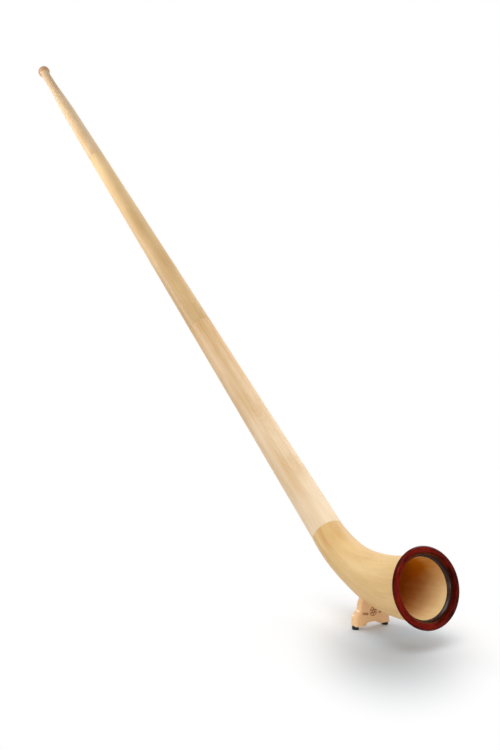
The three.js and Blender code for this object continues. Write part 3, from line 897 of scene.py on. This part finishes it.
lower_outside = [
    (GAP, BELL_JOINT_RADIUS),
    (LOWER_LENGTH * LOWER_WAIST_SHARE, LOWER_WAIST_RADIUS),
    (LOWER_LENGTH, MIDDLE_JOINT_RADIUS),
]
upper_outside = [(GAP, MIDDLE_JOINT_RADIUS), (UPPER_LENGTH, HAND_JOINT_RADIUS)]
shells("bell_shell", "bell_section", bell_wood, bell_loop(), bell_outside, bend.at,
       lambda share: share * bend.length)
tube_section("lower_middle_shell", "lower_middle_section", lower_wood, lower_start, lower_outside,
             bell_sizes, middle_sizes["glue"], SLEEVE_GLUE_DEPTH, middle_sizes["bore"])
tube_section("upper_middle_shell", "upper_middle_section", upper_wood, upper_start, upper_outside,
             middle_sizes, hand_sizes["glue"], SLEEVE_GLUE_DEPTH, hand_sizes["bore"])
tube_section("hand_tube_shell", "hand_section", hand_wood, hand_start, hand_outside(),
             hand_sizes, KNOB_SPIGOT_RADIUS + GAP, KNOB_SPIGOT_LENGTH, TOP_BORE)


# Receiver knob, receiver sleeve and mouthpiece, with heights above the hand tube's end

knob_centre = GAP + math.sqrt(KNOB_RADIUS ** 2 - NECK_RADIUS ** 2)
knob_top = knob_centre + math.sqrt(KNOB_RADIUS ** 2 - KNOB_TOP_RADIUS ** 2)
recess_floor = knob_top - RECESS_DEPTH
receiver_end = recess_floor - RECEIVER_LENGTH
receiver_radius = SHANK_TOP_RADIUS + GAP + RECEIVER_WALL


def knob_profile():
    low = math.atan2(GAP - knob_centre, NECK_RADIUS)
    high = math.atan2(knob_top - knob_centre, KNOB_TOP_RADIUS)
    room = receiver_radius + GAP
    room_end = receiver_end - GAP
    recess = CUP_RIM_RADIUS + RECESS_GAP
    spigot_end = GAP - KNOB_SPIGOT_LENGTH
    profile = [(TOP_BORE, spigot_end), (KNOB_SPIGOT_RADIUS, spigot_end), (KNOB_SPIGOT_RADIUS, GAP)]
    for step in range(KNOB_STEPS + 1):
        angle = low + (high - low) * step / KNOB_STEPS
        profile.append((KNOB_RADIUS * math.cos(angle), knob_centre + KNOB_RADIUS * math.sin(angle)))
    profile += [(recess, knob_top), (recess, recess_floor), (room, recess_floor), (room, room_end)]
    return softened(profile + [(TOP_BORE, room_end)], KNOB_CHAMFER)


def receiver_profile():
    taper = (SHANK_TOP_RADIUS - SHANK_END_RADIUS) * RECEIVER_LENGTH / SHANK_LENGTH
    inner = SHANK_TOP_RADIUS + GAP
    return [
        (inner - taper, receiver_end), (receiver_radius, receiver_end),
        (receiver_radius, recess_floor), (inner, recess_floor),
    ]


def cup_profile():
    waist = recess_floor + CUP_STAND_OFF
    rim = waist + CUP_LENGTH
    edge = rim - RIM_EDGE
    shank_end = waist - SHANK_LENGTH
    rim_half = (CUP_RIM_RADIUS - RIM_BORE_RADIUS) / 2
    rim_middle = (CUP_RIM_RADIUS + RIM_BORE_RADIUS) / 2
    cup = between((CUP_WAIST_RADIUS, waist), (CUP_RIM_RADIUS, rim), CUP_CURVE)
    bowl = between((RIM_BORE_RADIUS, edge), (THROAT_RADIUS, edge - CUP_DEPTH), BOWL_CURVE)
    profile = [(SHANK_BORE_RADIUS, shank_end), (SHANK_END_RADIUS, shank_end)]
    profile += [(SHANK_TOP_RADIUS, recess_floor)] + spline(cup, CUP_STEPS) + [(CUP_RIM_RADIUS, edge)]
    for step in range(1, RIM_STEPS):
        angle = math.pi * step / RIM_STEPS
        profile.append((rim_middle + rim_half * math.cos(angle), edge + RIM_EDGE * math.sin(angle)))
    return profile + spline(bowl, BOWL_STEPS) + [(THROAT_RADIUS, waist)]


for name, profile, material, body, slot in (
    ("receiver_knob", knob_profile(), knob_wood, "hand_section", "knob_wood"),
    ("receiver_sleeve", receiver_profile(), brass, "hand_section", "joint_brass"),
    ("mouthpiece", cup_profile(), cup_wood, "mouthpiece_body", "mouthpiece_wood"),
):
    link_piece(name, turned(profile, tube_matrix(top_start)), material, body)


# Bell ring, with heights ahead of the mouth

def ring_profile():
    bore = BELL_MOUTH_RADIUS - BELL_MOUTH_WALL
    seat = BELL_MOUTH_RADIUS + GAP
    back = (RING_SKIRT_RADIUS, -RING_SKIRT_LENGTH)
    widest = (RING_RADIUS, RING_WIDEST_AT)
    front = (RING_FACE_RADIUS, RING_FRONT)
    front_inner = (RING_FACE_RADIUS - RING_FLAT_WIDTH, RING_FRONT)
    lip = (RING_LIP_RADIUS, RING_LIP_AT)
    outer = between(back, widest, RING_BACK_CURVE) + between(widest, front, RING_FRONT_CURVE)
    profile = [(bore, GAP), (seat, GAP), (seat, -RING_SKIRT_LENGTH)] + spline(outer, RING_OUTER_STEPS)
    profile += spline(between(front_inner, lip, RING_LIP_CURVE), RING_LIP_STEPS)
    return profile + spline(between(lip, (bore, GAP), RING_COVE_CURVE), RING_COVE_STEPS)[1:-1]


ring = turned(ring_profile(), axis_matrix(MOUTH, up_of(-forward), forward), RING_STEPS)
link_piece("bell_ring", ring, red_lacquer, "bell_section")


# Pads and screws

def pad_profile():
    return softened([
        (PAD_HOLE_RADIUS, PAD_SINK_DEPTH), (PAD_SINK_RADIUS, PAD_SINK_DEPTH), (PAD_SINK_RADIUS, 0),
        (PAD_FOOT_RADIUS - PAD_EDGE, 0), (PAD_FOOT_RADIUS, PAD_EDGE), (PAD_TOP_RADIUS, PAD_HEIGHT),
        (PAD_HOLE_RADIUS, PAD_HEIGHT),
    ], PAD_CHAMFER)


def screw_profile():
    head_top = PAD_SINK_DEPTH - GAP
    head_bottom = head_top - SCREW_HEAD_HEIGHT
    tip = head_top + SCREW_LENGTH
    return [
        (0, head_bottom + SCREW_HEAD_ROUNDING), (SCREW_HEAD_ROUNDING, head_bottom),
        (SCREW_HEAD_RADIUS - SCREW_HEAD_ROUNDING, head_bottom),
        (SCREW_HEAD_RADIUS, head_bottom + SCREW_HEAD_HEIGHT / 2), (SCREW_HEAD_RADIUS, head_top),
        (SCREW_SHANK_RADIUS, head_top), (SCREW_SHANK_RADIUS, tip - SCREW_TIP_LENGTH), (0, tip),
    ]


def pad_matrix(side):
    return Matrix.Translation((0, side * PAD_SPACING / 2, 0))


for word, side in SIDES:
    pad = turned(pad_profile(), pad_matrix(side), PAD_STEPS)
    link_piece(f"foot_pad_{word}", pad, pad_rubber, "bell_section")
    screw = turned(screw_profile(), pad_matrix(side), SCREW_STEPS)
    link_piece(f"pad_screw_{word}", screw, steel, "bell_section")


# Foot block, its saddle cut by the bell and its front carved

def run(start, control, end, steps):
    """Points after the start on a curve with a control point, or on a straight line without one."""
    points = []
    for step in range(1, steps + 1):
        t = step / steps
        s = 1 - t
        if control:
            spot = (s * s * a + 2 * s * t * b + t * t * c for a, b, c in zip(start, control, end))
        else:
            spot = (a + (b - a) * t for a, b in zip(start, end))
        points.append(tuple(spot))
    return points


def foot_outline():
    """(y, z) points of the foot seen from the front, anticlockwise from the arch's middle."""
    arch_control = (LEG_INNER - LEG_ROUNDING / 2, FOOT_ARCH_HEIGHT - FOOT_ARCH_EASE)
    ankle_control = (LEG_OUTER, (TOE_HEIGHT + ANKLE_HEIGHT) / 2)
    waist_control = (WAIST_HALF_WIDTH, (ANKLE_HEIGHT + WAIST_HEIGHT) / 2)
    shoulder_control = (WAIST_HALF_WIDTH, (WAIST_HEIGHT + FOOT_SHOULDER_HEIGHT) / 2)
    points = [(0, FOOT_ARCH_HEIGHT), (FOOT_ARCH_HALF_WIDTH, FOOT_ARCH_HEIGHT)]
    for control, end, steps in (
        (arch_control, (LEG_INNER, PAD_HEIGHT), 10),
        (None, (LEG_OUTER - LEG_ROUNDING, PAD_HEIGHT), 6),
        ((LEG_OUTER, PAD_HEIGHT), (LEG_OUTER, PAD_HEIGHT + LEG_ROUNDING), 10),
        (None, (LEG_OUTER, TOE_HEIGHT), 4),
        (ankle_control, (ANKLE_WIDTH, ANKLE_HEIGHT), 14),
        (waist_control, (WAIST_HALF_WIDTH, WAIST_HEIGHT), 12),
        (shoulder_control, (SHOULDER_HALF_WIDTH, FOOT_SHOULDER_HEIGHT), 12),
    ):
        points += run(points[-1], control, end, steps)
    points.append((SADDLE_HALF_WIDTH, SADDLE_TOP))
    return points + [(-y, z) for y, z in points[:0:-1]]


def foot_rounding(y, z, side):
    """Radius of the front or back edge at a point of the outline, largest on the toes' fronts."""
    out = smooth_share(abs(y), WAIST_HALF_WIDTH, LEG_OUTER)
    rise = smooth_share(z, PAD_HEIGHT, PAD_HEIGHT + EDGE_RISE)
    upper = FOOT_EDGE + (TOE_EDGE - FOOT_EDGE) * out if side > 0 else FOOT_EDGE
    return UNDER_EDGE + (upper - UNDER_EDGE) * rise


def foot_body():
    """The outline as a thick block whose front and back edges are rounded."""
    outline = foot_outline()
    bm = bmesh.new()
    turns = [math.pi / 2 * step / FOOT_EDGE_STEPS for step in range(FOOT_EDGE_STEPS + 1)]
    rows = []
    for side, turn in [(1, turn) for turn in turns[::-1]] + [(-1, turn) for turn in turns]:
        row = []
        for index, (y, z) in enumerate(outline):
            after = outline[(index + 1) % len(outline)]
            along = (Vector(after) - Vector(outline[index - 1])).normalized()
            rounding = foot_rounding(y, z, side)
            inset = rounding * (1 - math.cos(turn))
            x = FOOT_AHEAD + side * (FOOT_THICKNESS / 2 - rounding * (1 - math.sin(turn)))
            row.append(bm.verts.new((x, y - along.y * inset, z + along.x * inset)))
        rows.append(row)
    skin(bm, rows)
    for row in (rows[0], rows[-1]):
        for triple in tessellate_polygon([[Vector((vert.co.y, vert.co.z, 0)) for vert in row]]):
            bm.faces.new([row[index] for index in triple])
    return link_object("foot_block_fine", closed(bm))


def bell_cutter():
    """The bell's outside and a glue line, as one solid."""
    bm = bmesh.new()
    rings = []
    for share, radius in bell_outside[::2]:
        centre, up = bend.at(share)
        rings.append([
            bm.verts.new(centre + (up * cosine + Vector((0, sine, 0))) * (radius + GAP))
            for cosine, sine in circle(LATHE_STEPS)
        ])
    skin(bm, rings)
    bm.faces.new(rings[0])
    bm.faces.new(rings[-1])
    return closed(bm)


def chip(centre, angle, length, half_width, depth):
    """A lens-shaped cutter with a V bottom, lying on the foot's front face."""
    bm = bmesh.new()
    along = Vector((0, math.cos(angle), math.sin(angle)))
    across = Vector((0, -math.sin(angle), math.cos(angle)))
    lift = Vector((CARVING_LIFT, 0, 0))
    middle = Vector((FOOT_FRONT, centre[0], centre[1])) + along * length / 2
    rows = []
    for step in range(CHIP_STEPS + 1):
        t = 2 * step / CHIP_STEPS - 1
        swell = 1 - t * t
        spot = middle + along * (t * length / 2)
        flare = across * ((half_width * swell + CHIP_TIP) * (1 + CARVING_LIFT / depth))
        keel = spot - Vector((depth * swell + CHIP_TIP, 0, 0))
        rows.append([bm.verts.new(co) for co in (spot + flare + lift, spot - flare + lift, keel)])
    # Both sides split into triangles the same way, from the upper edge to the next keel
    for a, b in zip(rows, rows[1:]):
        bm.faces.new((a[0], b[0], b[1], a[1]))
        bm.faces.new((a[0], a[2], b[2], b[0]))
        bm.faces.new((a[1], b[1], b[2], a[2]))
    bm.faces.new(rows[0])
    bm.faces.new(rows[-1])
    return closed(bm)


def round_groove(centre, radius):
    """A round V groove's cutter."""
    bm = bmesh.new()
    depth = CARVING_DEPTH * ROUND_GROOVE_SHARE
    flare = ROUND_GROOVE_HALF_WIDTH * (1 + CARVING_LIFT / depth)
    columns = []
    for r, x in ((radius - flare, CARVING_LIFT), (radius + flare, CARVING_LIFT), (radius, -depth)):
        columns.append([
            bm.verts.new((FOOT_FRONT + x, centre[0] + r * cosine, centre[1] + r * sine))
            for cosine, sine in circle(ROUND_GROOVE_STEPS)
        ])
    skin(bm, columns + columns[:1])
    return closed(bm)


def cut(target, bm, material=None):
    """Takes a solid out of the target. The cut faces have the given material."""
    cutter = link_object("cutter", bm)
    if material:
        cutter.data.materials.append(material)
    modifier = target.modifiers.new("cut", "BOOLEAN")
    modifier.operation = "DIFFERENCE"
    modifier.solver = "EXACT"
    modifier.material_mode = "TRANSFER"
    modifier.object = cutter
    bpy.context.view_layer.update()
    done = bpy.data.meshes.new_from_object(target.evaluated_get(bpy.context.evaluated_depsgraph_get()))
    target.modifiers.clear()
    target.data = done
    bpy.data.objects.remove(cutter)


def ear_chip(side, along, lift, turn, *sizes):
    """A chip at a place along an ear's stem and above it, mirrored on the right side."""
    out = STEM_START[0] + along * math.cos(STEM_TURN) - lift * math.sin(STEM_TURN)
    rise = STEM_START[1] + along * math.sin(STEM_TURN) + lift * math.cos(STEM_TURN)
    angle = turn if side > 0 else math.pi - turn
    return chip((side * out, CARVING_HEIGHT + rise), angle, *sizes)


def carve(foot):
    """Cuts the rosette, its round groove and both ears of corn."""
    middle = (0.0, CARVING_HEIGHT)
    for index in range(PETALS):
        angle = math.pi / 2 + 2 * math.pi * index / PETALS
        inner = ROSETTE_RADIUS * PETAL_START_SHARE
        spot = (middle[0] + inner * math.cos(angle), middle[1] + inner * math.sin(angle))
        petal = chip(spot, angle, ROSETTE_RADIUS * PETAL_LENGTH_SHARE, PETAL_HALF_WIDTH, CARVING_DEPTH)
        cut(foot, petal, burnt_wood)
    cut(foot, round_groove(middle, ROSETTE_RADIUS), burnt_wood)
    for side in (1, -1):
        stem = ear_chip(side, 0, 0, STEM_TURN, STEM_LENGTH, STEM_HALF_WIDTH, CARVING_DEPTH / 2)
        cut(foot, stem, burnt_wood)
        for place in GRAIN_PLACES:
            for way in (1, -1):
                corn = ear_chip(side, place, way * GRAIN_LIFT, STEM_TURN + way * GRAIN_TURN,
                                GRAIN_LENGTH, GRAIN_HALF_WIDTH, CARVING_DEPTH)
                cut(foot, corn, burnt_wood)


def foot_block():
    foot = foot_body()
    foot.data.materials.append(foot_wood)
    cut(foot, bell_cutter())
    hole_radius = SCREW_SHANK_RADIUS + GAP
    hole_end = PAD_SINK_DEPTH + SCREW_LENGTH
    hole = [(0, 0), (hole_radius, 0), (hole_radius, hole_end), (0, hole_end)]
    for side in (1, -1):
        cut(foot, turned(hole, pad_matrix(side), SCREW_HOLE_STEPS))
    carve(foot)
    bm = bmesh.new()
    bm.from_mesh(foot.data)
    grain = bm.verts.layers.float_vector.new("grain")
    for vert in bm.verts:
        vert[grain] = (vert.co.y, vert.co.z, vert.co.x)
    bm.to_mesh(foot.data)
    bm.free()
    foot.data.shade_smooth()
    foot.data.set_sharp_from_angle(angle=FOOT_SMOOTH_ANGLE)
    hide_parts("foot_block")
    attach(foot, "bell_section")


foot_block()


# Floor, lights and camera

def backdrop_rays(tree):
    """1 for the rays that show the background: from the camera, through glass and off a gloss."""
    paths = node(tree, "ShaderNodeLightPath").outputs
    straight = maths(tree, "MAXIMUM", paths["Is Camera Ray"], paths["Is Transmission Ray"])
    return maths(tree, "MAXIMUM", straight, paths["Is Glossy Ray"])


def seen_floor(tree, place, offset):
    """The floor's colour as it is seen, at a place and at its offset in the oval: a painted shadow that turns
    white across the oval.
    """
    painted_shadow = mixed(tree, ramp_between(tree, offset, 0.0, 1.0), PAINTED_SHADOW_COLOUR, WHITE)
    reach = vector_maths(tree, "DISTANCE", place, BOUNCE_CENTRE)["Value"]
    tint = mixed(tree, ramp_between(tree, reach, 0.0, BOUNCE_REACH), BOUNCE_TINT, WHITE)
    return mixed(tree, 1.0, painted_shadow, tint, "MULTIPLY")


def floor():
    """A white studio floor that keeps the object's real shadow, with a painted soft shadow under the bell, and
    turns plain white away from it.
    """
    bpy.ops.mesh.primitive_plane_add(size=FLOOR_SIZE, location=(0, 0, 0))
    plane = bpy.context.object
    plane.name = "studio_floor"
    material = bpy.data.materials.new("studio_floor")
    material.use_nodes = True
    tree = material.node_tree
    tree.nodes.clear()
    shown = backdrop_rays(tree)
    place = node(tree, "ShaderNodeNewGeometry").outputs["Position"]
    from_centre = vector_maths(tree, "SUBTRACT", place, OVAL_CENTRE)["Vector"]
    cosine = math.cos(OVAL_TURN)
    sine = math.sin(OVAL_TURN)
    across = (cosine / OVAL_WIDTH, sine / OVAL_WIDTH, 0)
    deep = (-sine / OVAL_LENGTH, cosine / OVAL_LENGTH, 0)
    offset = hypotenuse(tree, *(
        vector_maths(tree, "DOT_PRODUCT", from_centre, axis)["Value"] for axis in (across, deep)))
    away = ramp_between(tree, offset, FADE_FROM, FADE_TO)
    colour = mixed(tree, shown, FLOOR_COLOUR, seen_floor(tree, place, offset))
    shaded = node(tree, "ShaderNodeBsdfDiffuse", {"Color": colour})
    white = node(tree, "ShaderNodeEmission", {"Color": WHITE, "Strength": 1.0})
    blend = node(tree, "ShaderNodeMixShader", {
        0: maths(tree, "MULTIPLY", away, shown), 1: shaded.outputs[0], 2: white.outputs[0],
    })
    node(tree, "ShaderNodeOutputMaterial", {"Surface": blend.outputs[0]})
    plane.data.materials.append(material)


def studio_world():
    """Even light from all round, and plain white where it is seen as the background."""
    world = bpy.data.worlds.new("studio_world")
    bpy.context.scene.world = world
    world.use_nodes = True
    tree = world.node_tree
    tree.nodes.clear()
    strength = maths(tree, "MULTIPLY_ADD", backdrop_rays(tree), 1.0 - WORLD_LIGHT, WORLD_LIGHT)
    background = node(tree, "ShaderNodeBackground", {"Color": WHITE, "Strength": strength})
    node(tree, "ShaderNodeOutputWorld", {"Surface": background.outputs[0]})


def softbox(name, at, aim, width, height, watts):
    data = bpy.data.lights.new(name, "AREA")
    data.shape = "RECTANGLE"
    data.size = width
    data.size_y = height
    data.energy = watts
    lamp = bpy.data.objects.new(name, data)
    lamp.location = at
    lamp.rotation_euler = (Vector(aim) - Vector(at)).to_track_quat("-Z", "Y").to_euler()
    bpy.context.scene.collection.objects.link(lamp)


floor()
studio_world()
for box in SOFTBOXES:
    softbox(*box)

camera_data = bpy.data.cameras.new("photo_camera")
camera_data.sensor_width = CAMERA_SENSOR_MM
camera_data.lens = CAMERA_LENS_MM
camera_data.clip_end = CAMERA_CLIP_END
camera = bpy.data.objects.new("photo_camera", camera_data)
ahead = Vector((
    -math.cos(CAMERA_YAW) * math.cos(CAMERA_PITCH),
    math.sin(CAMERA_YAW) * math.cos(CAMERA_PITCH),
    -math.sin(CAMERA_PITCH),
))
right = ahead.cross(Vector((0, 0, 1))).normalized()
camera.matrix_world = Matrix.Translation(CAMERA_AT) @ Matrix(
    (right, right.cross(ahead), -ahead)).transposed().to_4x4()
bpy.context.scene.collection.objects.link(camera)
bpy.context.scene.camera = camera
bpy.context.scene.view_settings.view_transform = "Standard"
